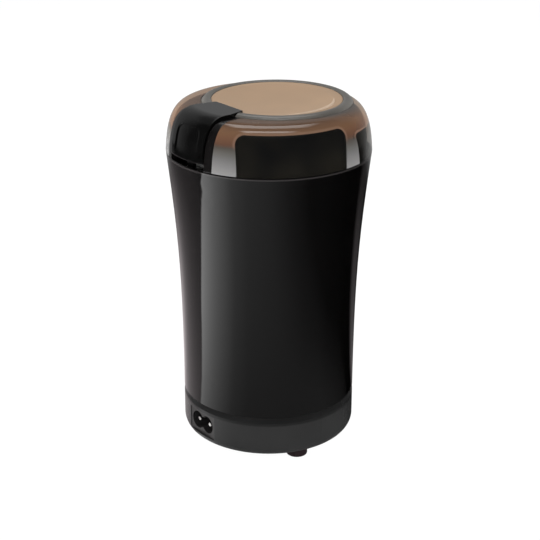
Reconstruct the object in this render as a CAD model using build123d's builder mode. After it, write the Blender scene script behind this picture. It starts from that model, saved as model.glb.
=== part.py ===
from build123d import *
import os
from math import cos, radians, sin

# Electric spice grinder, in millimetres. Z is up and the feet stand on Z = 0.
# The press lever and the mains inlet face -Y.

# ---- overall sizes ----
foot_height = 4.5
base_height = 21.5
casing_height = 122.5
lid_height = 22.4
rim_radius = 49.0
seam_radius = 42.4
base_radius = 42.4

base_bottom = foot_height
seam_z = base_bottom + base_height
rim_z = seam_z + casing_height
lid_top_z = rim_z + lid_height

# ---- casing ----
casing_wall = 2.4
flare_start = 55.0
flare_lean = 5.45
flare_reach = 45.0
rim_edge_round = 0.5
deck_drop = 5.0
deck_thickness = 2.4
recess_wall = 2.3
platform_drop = 46.1
platform_thickness = 2.4
platform_hole_radius = 9.0

deck_z = rim_z - deck_drop
deck_under_z = deck_z - deck_thickness
recess_radius = rim_radius - recess_wall
platform_z = rim_z - platform_drop
platform_under_z = platform_z - platform_thickness

# ---- base ----
base_wall = 2.4
base_floor = 2.4
base_round = 5.6
band_height = 3.1
band_inset = 1.5
lip_height = 4.0
lip_wall = 2.2
lip_clearance = 0.25
vent_count = 12
vent_length = 9.0
vent_width = 2.2
vent_circle = 15.0

band_z = seam_z - band_height
floor_z = base_bottom + base_floor
lip_radius = seam_radius - casing_wall - lip_clearance

# ---- feet and base screws ----
foot_count = 3
foot_radius = 5.2
foot_margin = 10.4
foot_turn = -12.0
foot_seat = 1.0
foot_stem_radius = 2.0
foot_edge_round = 0.8
seat_clearance = 0.15
screw_count = 3
screw_margin = 9.4
screw_turn = 90.0
post_radius = 4.0
screw_radius = 1.4
screw_head_radius = 2.9
screw_head_height = 1.6
screw_bite = 12.0
screw_clearance = 0.1
head_sink = 0.4
driver_slot = 0.8

foot_circle = base_radius - foot_margin
screw_circle = seam_radius - screw_margin

# ---- mains inlet, the two pin figure of eight kind ----
socket_sink = 1.4
socket_half_width = 9.6
socket_low = 9.0
socket_high = 20.9
socket_depth = 11.5
socket_flange = 1.4
socket_flange_thickness = 1.3
socket_fit = 0.1
lobe_radius = 4.4
lobe_pitch = 7.7
recess_depth = 9.0
pin_radius = 1.2
pin_pitch = 8.6
pin_length = 8.0
terminal_length = 6.0
terminal_width = 3.0
terminal_thickness = 0.8

socket_face = base_radius - socket_sink
socket_z = (socket_low + socket_high) / 2
socket_back = socket_face - socket_depth

# ---- grinding bowl ----
bowl_room = 13.0
collar_step = 3.4
collar_height = 12.3
bowl_wall = 0.7
bowl_corner = 8.0
hem_radius = 0.8
gasket_thickness = 1.0
gasket_inner = 12.0
bowl_fit = 0.9

bowl_radius = rim_radius - bowl_room
collar_radius = bowl_radius + collar_step
gasket_outer = bowl_radius - bowl_corner
bowl_under_z = platform_z + gasket_thickness
bowl_floor_z = bowl_under_z + bowl_wall
collar_top_z = rim_z + collar_height

# ---- shaft, bush and seal ----
shaft_radius = 3.0
running_fit = 0.05
air_gap = 0.4
bush_radius = 7.0
bush_flange_radius = 10.0
bush_flange = 1.5
bush_length = 6.0
seal_radius = 5.5
seal_height = 2.0

# ---- motor ----
mount_thickness = 3.0
mount_radius = 5.0
mount_circle = 31.5
bracket_plate = 2.4
bracket_arm = 36.0
bracket_arm_width = 14.0
post_margin = 0.4
post_thickness = 6.0
post_width = 12.0
stack_top_drop = 16.0
stack_length = 26.0
stator_length = 62.0
stator_width = 50.0
stator_corner = 10.0
armature_radius = 17.0
coil_inner_x = 19.5
coil_thickness = 6.0
coil_inner_y = 11.0
coil_width = 5.5
coil_overhang = 5.5
coil_fit = 0.3
slot_count = 12
slot_circle = 13.3
slot_radius = 2.0
slot_mouth = 1.4
wire_radius = 1.8
end_winding = 4.2
end_winding_inner = 6.0
bearing_radius = 8.0
bearing_width = 5.0
bearing_race = 1.8
bearing_gap = 0.6
bearing_step = 1.6
boss_wall = 2.2
commutator_radius = 8.0
commutator_length = 8.0
commutator_bars = 24
bar_groove = 0.5
lower_drop = 16.6
lower_arm_width = 15.0
brush_width = 4.2
brush_height = 5.0
holder_wall = 0.9
holder_length = 15.0
brush_gap = 0.3
fan_radius = 24.0
fan_height = 4.2
fan_plate = 1.2
fan_blades = 9
fan_blade_thickness = 1.2
fan_gap = 2.0
fan_hub_radius = 6.2
fan_edge = 1.0
stator_screw_radius = 1.6
shaft_tail = 2.5

post_outer = stator_width / 2 - post_margin
post_inner = post_outer - post_thickness
lower_arm = stator_width / 2
bracket_z = platform_under_z - mount_thickness
bracket_under_z = bracket_z - bracket_plate
stack_top = platform_under_z - stack_top_drop
stack_bottom = stack_top - stack_length
lower_plate_top = stack_bottom - lower_drop
lower_plate_under = lower_plate_top - bracket_plate
post_middle = (post_inner + post_outer) / 2
coil_outer_y = coil_inner_y + coil_width
upper_bearing_top = bracket_z - 1.0
lower_bearing_top = lower_plate_top + bearing_step
commutator_bottom = lower_bearing_top + bearing_step
commutator_middle = commutator_bottom + commutator_length / 2
fan_top = lower_bearing_top - bearing_width - fan_gap
shaft_bottom = fan_top - fan_height - fan_plate - shaft_tail

# ---- blade ----
blade_lift = 8.0
blade_thickness = 1.2
blade_clearance = 5.3
blade_bend_at = 17.0
blade_root_width = 11.0
blade_tip_width = 7.0
blade_tip_angle = 22.0
blade_bevel = 0.45
hub_radius = 6.0
nut_size = 5.0
nut_height = 4.0
shaft_end = 1.2

blade_half_length = bowl_radius - bowl_wall - blade_clearance
blade_z = bowl_floor_z + blade_lift
nut_z = blade_z + blade_thickness
shaft_top = nut_z + nut_height + shaft_end

# ---- lid ----
lid_gap = 0.2
lid_wall = 2.3
lid_shoulder = 12.0
lid_lean = 0.8
lid_rise = 14.5
lid_round = 8.5
trim_offset = 4.8
trim_margin = 13.0
trim_seat = 1.2
trim_clearance = 0.1
ring_width = 4.8
ring_edge_height = 0.8
ring_crest_height = 2.55
ring_crest_in = 2.6
ring_land_height = 2.1
ledge_width = 7.0
dish_land = 2.0
dish_plug = 1.4
hollow_margin = 2.7
hollow_offset = 2.4
hollow_depth = 2.0
edge_soft = 0.3

lid_flat_radius = rim_radius - lid_shoulder
trim_radius = rim_radius - trim_margin
ring_inner = trim_radius - ring_width
ring_crest_at = trim_radius - ring_crest_in
ledge_hole = trim_radius - ledge_width
hollow_radius = ring_inner - hollow_margin
trim_z = lid_top_z - trim_seat

# ---- inner skirt of the lid ----
skirt_gap = 0.2
skirt_wall = 1.3
skirt_height = 18.0
skirt_round = 3.5
spigot_depth = 4.0
spigot_top = 0.6
spigot_wall = 1.9
spigot_clearance = 0.4
panel_angle = 31.4
panel_first = 66.4
panel_pitch = 75.3
panel_pairs = 2

# ---- lever, its housing and hinge ----
lever_half_width = 12.2
lever_gap = 0.35
lever_length = 25.8
lever_straight = 17.5
lever_tip_half_width = 10.2
lever_proud = 0.8
lever_crown = 1.6
lever_wall = 2.2
lever_rest_gap = 0.25
lever_turn = 7.0
panel_half_width = 8.2
panel_top = 18.6
panel_sink = 0.6
frame_half_width = 17.2
frame_top_half_width = 14.6
frame_fit = 0.1
cheek_wall = 1.7
cheek_top = 19.3
cheek_step = 14.3
cheek_setback = 7.5
web_wall = 1.5
web_gap = 0.8
hinge_setback = 23.5
hinge_height = 17.0
hinge_pin_radius = 1.0
ear_radius = 2.5
ear_inner = 8.0
ear_wall = 2.0
leg_width = 4.0
leg_thickness = 1.8
leg_clearance = 1.3
leg_depth = 1.4
leg_joint_low = 5.0
leg_joint_high = 12.0
leg_joint_cover = 1.6

lever_end = rim_radius - lever_length
lever_taper_from = rim_radius - lever_straight
cheek_front = rim_radius - cheek_setback
cheek_back = lever_end - web_gap
hinge_y = rim_radius - hinge_setback
leg_outer = recess_radius - leg_clearance
leg_inner = leg_outer - leg_thickness
leg_joint_reach = rim_radius - leg_joint_cover
hinge_z = rim_z + hinge_height
# The outer end swings down by this much and stops just above the rim
lever_lift = (rim_radius + lever_proud - hinge_y) * sin(radians(lever_turn)) + lever_rest_gap

# ---- switch plunger, spring, bracket and microswitch ----
plunger_gap = 0.3
plunger_half_width = 3.5
plunger_margin = 1.7
plunger_depth = 5.0
plunger_guide = 0.25
plunger_skirt = 0.6
rod_radius = 1.3
rod_inset = 4.0
rod_length = 12.6
rod_tip_round = 0.9
spring_length = 8.5
spring_radius = 2.1
spring_wire = 0.3
spring_turns = 4
shelf_thickness = 1.4
shelf_half_width = 4.5
shelf_margin = 2.6
plate_thickness = 1.1
plate_half_width = 8.4
plate_overhang = 1.5
flange_reach = 4.9
flange_inner_x = 4.2
flange_thickness = 1.4
bracket_screw_x = 6.2
bracket_screw_radius = 1.0
bracket_screw_head = 1.7
bracket_screw_bite = 1.8
switch_length = 12.8
switch_thickness = 4.6
switch_height = 7.5
switch_left = 6.4
switch_corner = 0.5
button_radius = 1.1
button_rest = 0.4
button_bite = 0.8
button_room = 0.3
rod_tip_gap = 0.3
peg_radius = 0.9
peg_drop = 5.6
peg_spacing = 6.5

plunger_travel = ((leg_inner + leg_outer) / 2 - hinge_y) * sin(radians(lever_turn))
plunger_outer = recess_radius - plunger_margin
plunger_inner = plunger_outer - plunger_depth
plunger_top = rim_z - leg_depth - plunger_gap
plunger_under = deck_under_z - plunger_skirt
rod_y = plunger_outer - rod_inset
rod_tip_z = plunger_under - rod_length
shelf_top = plunger_under - spring_length
shelf_outer = rod_y + shelf_margin
plate_inner = bowl_radius + bowl_fit
plate_outer = plate_inner + plate_thickness
flange_outer = plate_inner + flange_reach
button_top = rod_tip_z - rod_tip_gap
switch_top = button_top - button_rest - plunger_travel
switch_y = -(plate_outer + switch_thickness / 2)
switch_x = switch_length / 2 - switch_left

# ---- mains filter board ----
board_length = 30.0
board_width = 16.0
board_thickness = 1.6
board_y = 20.0
board_lift = 5.0
stand_radius = 2.5
capacitor_length = 15.0
capacitor_width = 7.0
capacitor_height = 11.0

board_z = floor_z + board_lift

UP = (Align.CENTER, Align.CENTER, Align.MIN)
DOWN = (Align.CENTER, Align.CENTER, Align.MAX)
foot_angles = [foot_turn + k * 360 / foot_count for k in range(foot_count)]
screw_angles = [screw_turn + k * 360 / screw_count for k in range(screw_count)]

os.makedirs("parts", exist_ok=True)


def finish(builder, name):
    """Label the finished piece and write it as its own STEP file."""
    builder.part.label = name
    export_step(builder.part, f"parts/{name}.step")


def on_circle(radius, angle, height=0.0):
    """Point at a radius and an angle in degrees from +X."""
    return (radius * cos(radians(angle)), radius * sin(radians(angle)), height)


def flared_section(inset, low, high):
    """Half section under the casing's flared side moved in by inset, between two heights."""
    foot = (seam_radius - inset, seam_z)
    head = (rim_radius - inset, rim_z)
    with BuildSketch(Plane.XZ) as section:
        with BuildLine():
            Polyline(head, (0, rim_z), (0, seam_z), foot)
            Bezier(
                foot,
                (foot[0], seam_z + flare_start),
                (head[0] - flare_lean, rim_z - flare_reach),
                head,
            )
        make_face()
        with Locations((rim_radius, (low + high) / 2)):
            Rectangle(2 * rim_radius, high - low, mode=Mode.INTERSECT)
    return section.sketch


def dome(inset, top, bottom):
    """Solid under the lid's outer curve moved in by inset, with a flat top, down to bottom."""
    side = rim_radius - inset
    with BuildPart() as body:
        with BuildSketch(Plane.XZ):
            with BuildLine():
                Polyline((lid_flat_radius, top), (0, top), (0, deck_z), (side, deck_z), (side, rim_z))
                Bezier(
                    (side, rim_z),
                    (side - lid_lean, rim_z + lid_rise),
                    (lid_flat_radius + lid_round - inset / 2, top),
                    (lid_flat_radius, top),
                )
            make_face()
            with Locations((0, bottom)):
                Rectangle(
                    2 * rim_radius,
                    2 * lid_height,
                    align=(Align.CENTER, Align.MIN),
                    mode=Mode.INTERSECT,
                )
        revolve()
    return body.part


def frame_plan(grow=0.0):
    """Outline of the lever housing from above, larger by grow, ending at the trim ring."""
    with BuildSketch() as plan:
        with BuildLine():
            Polyline(
                (0, -2 * rim_radius),
                (frame_half_width + grow, -2 * rim_radius),
                (frame_half_width + grow, -rim_radius),
                (frame_top_half_width + grow, -lever_end),
                (0, -lever_end),
            )
            mirror(about=Plane.YZ)
        make_face()
        with Locations((0, trim_offset)):
            Circle(trim_radius - grow, mode=Mode.SUBTRACT)
    return plan.sketch


def lever_plan(grow=0.0):
    """Outline of the press lever from above, larger by grow."""
    with BuildSketch() as plan:
        with BuildLine():
            Polyline(
                (0, -2 * rim_radius),
                (lever_half_width + grow, -2 * rim_radius),
                (lever_half_width + grow, -lever_taper_from),
                (lever_tip_half_width + grow, -lever_end + grow),
                (0, -lever_end + grow),
            )
            mirror(about=Plane.YZ)
        make_face()
    return plan.sketch


def column(plan, low, high):
    """Upright prism of a plan outline between two heights."""
    with BuildPart() as prism:
        with BuildSketch(Plane.XY.offset(low)):
            add(plan)
        extrude(amount=high - low)
    return prism.part


def tube(outer, inner, low, high):
    """Upright tube between two heights."""
    with BuildPart() as ring:
        with BuildSketch(Plane.XY.offset(low)):
            Circle(outer)
            Circle(inner, mode=Mode.SUBTRACT)
        extrude(amount=high - low)
    return ring.part


def slab(half_x, y_low, y_high, low, high, mode=Mode.ADD):
    """Block centred on X, drawn in the part block that is open."""
    with Locations((0, (y_low + y_high) / 2, low)):
        Box(2 * half_x, y_high - y_low, high - low, align=UP, mode=mode)


def pan_screw(radius, head_radius, head_height, seat_z, length):
    """Upright pan head screw whose head lies under seat_z, drawn in the open part block."""
    with Locations((0, 0, seat_z)):
        Cylinder(head_radius, head_height, align=DOWN)
        Cylinder(radius, length, align=UP)
    with Locations((0, 0, seat_z - head_height)):
        Box(2 * head_radius, driver_slot, driver_slot, align=UP, mode=Mode.SUBTRACT)


def screw_group(angles, circle, radius, head_radius, head_height, seat_z, length):
    """Equal upright screws on a circle, as separate solids of one node."""
    with BuildPart() as one:
        pan_screw(radius, head_radius, head_height, seat_z, length)
    placed = [Pos(*on_circle(circle, angle)) * one.part for angle in angles]
    return Compound(children=[copy_of.solid() for copy_of in placed])


# ======================= base =======================

with BuildPart() as base_shell:
    with BuildSketch(Plane.XZ):
        with BuildLine():
            Polyline(
                (0, base_bottom),
                (base_radius, base_bottom),
                (base_radius, band_z),
                (base_radius - band_inset, seam_z),
                (0, seam_z),
                close=True,
            )
        make_face()
        fillet(vertices().sort_by_distance((base_radius, base_bottom))[0], base_round)
    revolve()
    with BuildSketch(Plane.XZ):
        with BuildLine():
            Polyline(
                (0, floor_z),
                (base_radius - base_wall, floor_z),
                (base_radius - base_wall, band_z - band_height),
                (lip_radius - lip_wall, band_z),
                (lip_radius - lip_wall, seam_z),
                (0, seam_z),
                close=True,
            )
        make_face()
        fillet(
            vertices().sort_by_distance((base_radius - base_wall, floor_z))[0],
            base_round - base_wall,
        )
    revolve(mode=Mode.SUBTRACT)
    # Lip that centres the casing
    add(tube(lip_radius, lip_radius - lip_wall, seam_z - lip_wall, seam_z + lip_height))
    # Screw posts
    with Locations(*[on_circle(screw_circle, angle, floor_z) for angle in screw_angles]):
        Cylinder(post_radius, seam_z - floor_z, align=UP)
    # Stands of the filter board
    with Locations((0, board_y, floor_z)):
        with GridLocations(board_length - 4 * stand_radius, 1, 2, 1):
            Cylinder(stand_radius, board_lift, align=UP)
    # Screw holes with counterbores, from below
    with Locations(*[on_circle(screw_circle, angle, base_bottom) for angle in screw_angles]):
        Cylinder(screw_radius + screw_clearance, base_height, align=UP, mode=Mode.SUBTRACT)
        Cylinder(
            screw_head_radius + screw_clearance,
            head_sink + screw_head_height,
            align=UP,
            mode=Mode.SUBTRACT,
        )
    # Foot seats and stem holes
    with Locations(*[on_circle(foot_circle, angle, base_bottom) for angle in foot_angles]):
        Cylinder(foot_radius + seat_clearance, foot_seat, align=UP, mode=Mode.SUBTRACT)
        Cylinder(
            foot_stem_radius + seat_clearance,
            base_floor,
            align=UP,
            mode=Mode.SUBTRACT,
        )
    # Air slots under the fan
    with BuildSketch(Plane.XY.offset(base_bottom)):
        with PolarLocations(vent_circle, vent_count):
            SlotOverall(vent_length, vent_width)
    extrude(amount=base_floor, mode=Mode.SUBTRACT)
    # Window of the inlet
    with Locations((0, -base_radius, socket_z)):
        Box(
            2 * (socket_half_width + socket_fit),
            2 * (base_radius - socket_face + socket_depth / 2),
            socket_high - socket_low + 2 * socket_fit,
            mode=Mode.SUBTRACT,
        )
finish(base_shell, "base_shell")

for number, angle in enumerate(foot_angles, start=1):
    with BuildPart(Plane(on_circle(foot_circle, angle))) as rubber_foot:
        Cylinder(foot_radius, foot_height + foot_seat, align=UP)
        fillet(rubber_foot.edges().group_by(Axis.Z)[0], foot_edge_round)
        Cylinder(foot_stem_radius, foot_height + base_floor, align=UP)
        # Barb that holds the foot above the floor
        with Locations((0, 0, floor_z)):
            Cone(
                foot_stem_radius + 2 * seat_clearance,
                foot_stem_radius - 2 * seat_clearance,
                foot_stem_radius,
                align=UP,
            )
    finish(rubber_foot, f"rubber_foot_{number}")

screw_seat_z = base_bottom + head_sink + screw_head_height
base_screws = screw_group(
    screw_angles,
    screw_circle,
    screw_radius,
    screw_head_radius,
    screw_head_height,
    screw_seat_z,
    seam_z + screw_bite - screw_seat_z,
)
base_screws.label = "base_screws"
export_step(base_screws, "parts/base_screws.step")

# ======================= mains inlet =======================

with BuildPart() as inlet_socket:
    with BuildSketch(Plane.XZ.offset(socket_back)):
        with Locations((0, socket_z)):
            Rectangle(2 * socket_half_width, socket_high - socket_low)
    extrude(amount=socket_depth)
    # Flange behind the wall
    flange_y = socket_face - base_wall - 2 * socket_flange
    with BuildSketch(Plane.XZ.offset(flange_y - socket_flange_thickness)):
        with Locations((0, socket_z)):
            RectangleRounded(
                2 * (socket_half_width + socket_flange) - 1,
                socket_high - socket_low + socket_flange,
                socket_flange / 2,
            )
    extrude(amount=socket_flange_thickness)
    # Figure of eight recess
    with BuildSketch(Plane.XZ.offset(socket_face - recess_depth)):
        with Locations((0, socket_z)):
            with GridLocations(lobe_pitch, 1, 2, 1):
                Circle(lobe_radius)
            Rectangle(lobe_pitch, lobe_radius * 1.3)
    extrude(amount=recess_depth, mode=Mode.SUBTRACT)
    # Pin holes through the back
    with BuildSketch(Plane.XZ.offset(socket_back)):
        with Locations((0, socket_z)):
            with GridLocations(pin_pitch, 1, 2, 1):
                Circle(pin_radius + running_fit)
    extrude(amount=socket_depth, mode=Mode.SUBTRACT)
finish(inlet_socket, "inlet_socket")

with BuildPart() as contact_pin:
    pin_start = socket_face - recess_depth + pin_length
    with BuildSketch(Plane.XZ.offset(socket_back)):
        Circle(pin_radius)
    extrude(amount=pin_start - socket_back)
    fillet(contact_pin.edges().group_by(Axis.Y)[0], pin_radius / 2)
    # Solder tab behind the socket
    with BuildSketch(Plane.XZ.offset(socket_back - terminal_length)):
        Rectangle(terminal_thickness, terminal_width)
    extrude(amount=terminal_length)
inlet_pins = Compound(
    children=[
        (Pos(side * pin_pitch / 2, 0, socket_z) * contact_pin.part).solid()
        for side in (-1, 1)
    ]
)
inlet_pins.label = "inlet_pins"
export_step(inlet_pins, "parts/inlet_pins.step")

# ======================= casing =======================

with BuildPart() as body_casing:
    revolve(flared_section(0, seam_z, rim_z))
    # Motor room below the platform
    revolve(flared_section(casing_wall, seam_z, platform_under_z), mode=Mode.SUBTRACT)
    # Bowl room between the platform and the deck
    revolve(flared_section(casing_wall, platform_z, deck_under_z), mode=Mode.SUBTRACT)
    # Bowl opening in the deck and the recess that takes the lid
    with Locations((0, 0, deck_under_z)):
        Cylinder(bowl_radius + bowl_fit, deck_thickness, align=UP, mode=Mode.SUBTRACT)
    with Locations((0, 0, deck_z)):
        Cylinder(recess_radius, deck_drop, align=UP, mode=Mode.SUBTRACT)
    fillet(
        body_casing.edges().filter_by(GeomType.CIRCLE).group_by(Axis.Z)[-1],
        rim_edge_round,
    )
    # Shaft hole and the pilot holes of the motor mounts
    with Locations((0, 0, platform_under_z)):
        Cylinder(platform_hole_radius, platform_thickness, align=UP, mode=Mode.SUBTRACT)
        with PolarLocations(mount_circle, 4):
            Cylinder(screw_radius, platform_thickness * 0.75, align=UP, mode=Mode.SUBTRACT)
    # Slot of the switch plunger and holes for its bracket
    slab(
        plunger_half_width + plunger_guide,
        -plunger_outer - plunger_guide,
        -plunger_inner + plunger_guide,
        deck_under_z,
        deck_z,
        mode=Mode.SUBTRACT,
    )
    with Locations((0, -(flange_outer + plate_outer) / 2, deck_under_z)):
        with GridLocations(2 * bracket_screw_x, 1, 2, 1):
            Cylinder(bracket_screw_radius, bracket_screw_bite, align=UP, mode=Mode.SUBTRACT)
    # Screw bosses with webs to the wall
    boss_low = seam_z + lip_clearance
    web_low = seam_z + lip_height + lip_clearance
    boss_high = seam_z + screw_bite + post_radius
    for angle in screw_angles:
        with BuildSketch(Plane.XY.offset(boss_low)):
            with Locations(on_circle(screw_circle, angle)[:2]):
                Circle(post_radius)
        extrude(amount=boss_high - boss_low)
        web_middle = (screw_circle + seam_radius - casing_wall / 2) / 2
        web_length = seam_radius - casing_wall / 2 - screw_circle
        with BuildSketch(Plane.XY.offset(web_low)):
            with Locations(Location(on_circle(web_middle, angle), (0, 0, angle))):
                Rectangle(web_length, casing_wall)
        extrude(amount=boss_high - web_low)
        with Locations(on_circle(screw_circle, angle, boss_low)):
            Cylinder(
                screw_radius,
                seam_z + screw_bite - boss_low,
                align=UP,
                mode=Mode.SUBTRACT,
            )
finish(body_casing, "body_casing")

# ======================= grinding bowl =======================

with BuildPart() as grinding_bowl:
    with BuildSketch(Plane.XZ):
        with BuildLine():
            Polyline(
                (bush_radius, bowl_under_z),
                (bowl_radius, bowl_under_z),
                (bowl_radius, deck_z),
                (collar_radius, deck_z),
                (collar_radius, collar_top_z),
                (collar_radius - bowl_wall, collar_top_z),
                (collar_radius - bowl_wall, deck_z + bowl_wall),
                (bowl_radius - bowl_wall, deck_z + bowl_wall),
                (bowl_radius - bowl_wall, bowl_floor_z),
                (bush_radius, bowl_floor_z),
                close=True,
            )
        make_face()
        fillet(vertices().sort_by_distance((bowl_radius, bowl_under_z))[0], bowl_corner)
        fillet(
            vertices().sort_by_distance((bowl_radius - bowl_wall, bowl_floor_z))[0],
            bowl_corner - bowl_wall,
        )
        # Rolled edge of the collar
        with Locations((collar_radius - bowl_wall / 2, collar_top_z)):
            Circle(hem_radius)
    revolve()
finish(grinding_bowl, "grinding_bowl")

with BuildPart() as bowl_gasket:
    add(tube(gasket_outer, gasket_inner, platform_z, bowl_under_z))
finish(bowl_gasket, "bowl_gasket")

with BuildPart() as shaft_bush:
    add(tube(
        bush_radius,
        shaft_radius + air_gap,
        bowl_floor_z + bush_flange - bush_length,
        bowl_floor_z,
    ))
    add(tube(bush_flange_radius, shaft_radius + air_gap, bowl_floor_z, bowl_floor_z + bush_flange))
    chamfer(
        shaft_bush.edges().filter_by(GeomType.CIRCLE).sort_by(SortBy.RADIUS)[-1],
        bush_flange / 3,
    )
finish(shaft_bush, "shaft_bush")

seal_z = bowl_floor_z + bush_flange
with BuildPart() as shaft_seal:
    with BuildSketch(Plane.XZ):
        with BuildLine():
            Polyline(
                (shaft_radius + running_fit, seal_z + seal_height),
                (shaft_radius + air_gap, seal_z),
                (seal_radius, seal_z),
                (seal_radius, seal_z + seal_height / 2),
                (shaft_radius + 3 * air_gap, seal_z + seal_height),
                close=True,
            )
        make_face()
    revolve()
finish(shaft_seal, "shaft_seal")

# ======================= motor =======================

with BuildPart() as rubber_mount:
    add(tube(mount_radius, screw_radius + air_gap, bracket_z, platform_under_z))
rubber_mounts = Compound(
    children=[
        (Pos(*on_circle(mount_circle, 90 * k)) * rubber_mount.part).solid()
        for k in range(4)
    ]
)
rubber_mounts.label = "rubber_mounts"
export_step(rubber_mounts, "parts/rubber_mounts.step")

mount_screws = screw_group(
    [90 * k for k in range(4)],
    mount_circle,
    screw_radius,
    screw_head_radius,
    screw_head_height,
    bracket_under_z,
    platform_under_z + platform_thickness * 0.6 - bracket_under_z,
)
mount_screws.label = "mount_screws"
export_step(mount_screws, "parts/mount_screws.step")

with BuildPart() as motor_top_bracket:
    # Cross of arms that hangs from the rubber mounts
    with BuildSketch(Plane.XY.offset(bracket_under_z)):
        SlotOverall(2 * bracket_arm, bracket_arm_width)
        SlotOverall(2 * bracket_arm, bracket_arm_width, rotation=90)
    extrude(amount=bracket_plate)
    # Posts down to the laminations
    with BuildSketch(Plane.XY.offset(stack_top)):
        with Locations((0, post_middle), (0, -post_middle)):
            Rectangle(post_width, post_outer - post_inner)
    extrude(amount=bracket_under_z - stack_top)
    # Bearing housing
    with BuildSketch(Plane.XY.offset(upper_bearing_top - bearing_width - bearing_gap)):
        Circle(bearing_radius + boss_wall)
    extrude(amount=bracket_under_z - upper_bearing_top + bearing_width + bearing_gap)
    with Locations((0, 0, upper_bearing_top)):
        Cylinder(bearing_radius + running_fit, 4 * bearing_width, align=DOWN, mode=Mode.SUBTRACT)
    with Locations((0, 0, bracket_z)):
        Cylinder(shaft_radius + 3 * air_gap, 4 * bearing_width, align=DOWN, mode=Mode.SUBTRACT)
    with Locations((0, 0, bracket_under_z)):
        with PolarLocations(mount_circle, 4):
            Cylinder(screw_radius + screw_clearance, bracket_plate, align=UP, mode=Mode.SUBTRACT)
    with Locations((0, post_middle, stack_top), (0, -post_middle, stack_top)):
        Cylinder(
            stator_screw_radius,
            bracket_under_z - stack_top,
            align=UP,
            mode=Mode.SUBTRACT,
        )
finish(motor_top_bracket, "motor_top_bracket")

with BuildPart() as stator_core:
    with BuildSketch(Plane.XY.offset(stack_bottom)):
        RectangleRounded(stator_length, stator_width, stator_corner)
        Circle(armature_radius + 2 * air_gap, mode=Mode.SUBTRACT)
        # Windows beside each pole that take the field coils
        for side_x in (-1, 1):
            for side_y in (-1, 1):
                window_x = side_x * (coil_inner_x + coil_thickness / 2)
                window_y = side_y * (coil_inner_y + coil_width / 2)
                with Locations((window_x, window_y)):
                    Rectangle(
                        coil_thickness + coil_fit,
                        coil_width + coil_fit,
                        mode=Mode.SUBTRACT,
                    )
        with Locations((0, post_middle), (0, -post_middle)):
            Circle(stator_screw_radius + screw_clearance, mode=Mode.SUBTRACT)
    extrude(amount=stack_length)
finish(stator_core, "stator_core")

with BuildPart() as field_coil:
    coil_middle_z = (stack_bottom + stack_top) / 2
    coil_height = stack_length + 2 * coil_overhang
    inner_height = stack_length + 2 * coil_fit
    with BuildSketch(Plane.YZ.offset(coil_inner_x)):
        with Locations((0, coil_middle_z)):
            RectangleRounded(2 * coil_outer_y, coil_height, coil_overhang * 0.9)
            Rectangle(2 * coil_inner_y, inner_height, mode=Mode.SUBTRACT)
    extrude(amount=coil_thickness)
field_coils = Compound(
    children=[
        field_coil.part.solid(),
        (Rot(0, 0, 180) * field_coil.part).solid(),
    ]
)
field_coils.label = "field_coils"
export_step(field_coils, "parts/field_coils.step")

with BuildPart() as motor_bottom_bracket:
    with BuildSketch(Plane.XY.offset(lower_plate_under)):
        RectangleRounded(2 * lower_arm, lower_arm_width, 3)
        RectangleRounded(bracket_arm_width, 2 * post_outer, 3)
    extrude(amount=bracket_plate)
    with BuildSketch(Plane.XY.offset(lower_plate_top)):
        with Locations((0, post_middle), (0, -post_middle)):
            Rectangle(post_width, post_outer - post_inner)
    extrude(amount=stack_bottom - lower_plate_top)
    # Bearing housing, open below
    with BuildSketch(Plane.XY.offset(lower_bearing_top - bearing_width)):
        Circle(bearing_radius + boss_wall)
    extrude(amount=bearing_width + 1)
    with Locations((0, 0, lower_bearing_top)):
        Cylinder(bearing_radius + running_fit, 2 * bearing_width, align=DOWN, mode=Mode.SUBTRACT)
        Cylinder(shaft_radius + 3 * air_gap, bearing_width, mode=Mode.SUBTRACT)
    # Pedestals of the brush holders
    holder_low = commutator_middle - brush_height / 2 - holder_wall
    with BuildSketch(Plane.XY.offset(lower_plate_top)):
        with GridLocations(2 * (lower_arm - 6), 1, 2, 1):
            Rectangle(8, brush_width + 2 * holder_wall)
    extrude(amount=holder_low - lower_plate_top)
    with Locations((0, post_middle, lower_plate_under), (0, -post_middle, lower_plate_under)):
        Cylinder(
            stator_screw_radius + screw_clearance,
            stack_bottom - lower_plate_under,
            align=UP,
            mode=Mode.SUBTRACT,
        )
finish(motor_bottom_bracket, "motor_bottom_bracket")

stator_screws = screw_group(
    [90, 270],
    post_middle,
    stator_screw_radius - screw_clearance,
    screw_head_radius,
    screw_head_height,
    lower_plate_under,
    stack_top + bracket_plate * 3 - lower_plate_under,
)
stator_screws.label = "stator_screws"
export_step(stator_screws, "parts/stator_screws.step")


def ball_bearing(name, top):
    """Deep groove bearing with shielded gap between its races."""
    with BuildPart() as bearing:
        with BuildSketch(Plane.XZ):
            with Locations(((shaft_radius + bearing_radius) / 2, top - bearing_width / 2)):
                Rectangle(bearing_radius - shaft_radius - 2 * running_fit, bearing_width)
            with Locations(((shaft_radius + bearing_radius) / 2, top)):
                Rectangle(bearing_race, bearing_gap, mode=Mode.SUBTRACT)
            with Locations(((shaft_radius + bearing_radius) / 2, top - bearing_width)):
                Rectangle(bearing_race, bearing_gap, mode=Mode.SUBTRACT)
        revolve()
    finish(bearing, name)


ball_bearing("upper_bearing", upper_bearing_top)
ball_bearing("lower_bearing", lower_bearing_top)

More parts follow.
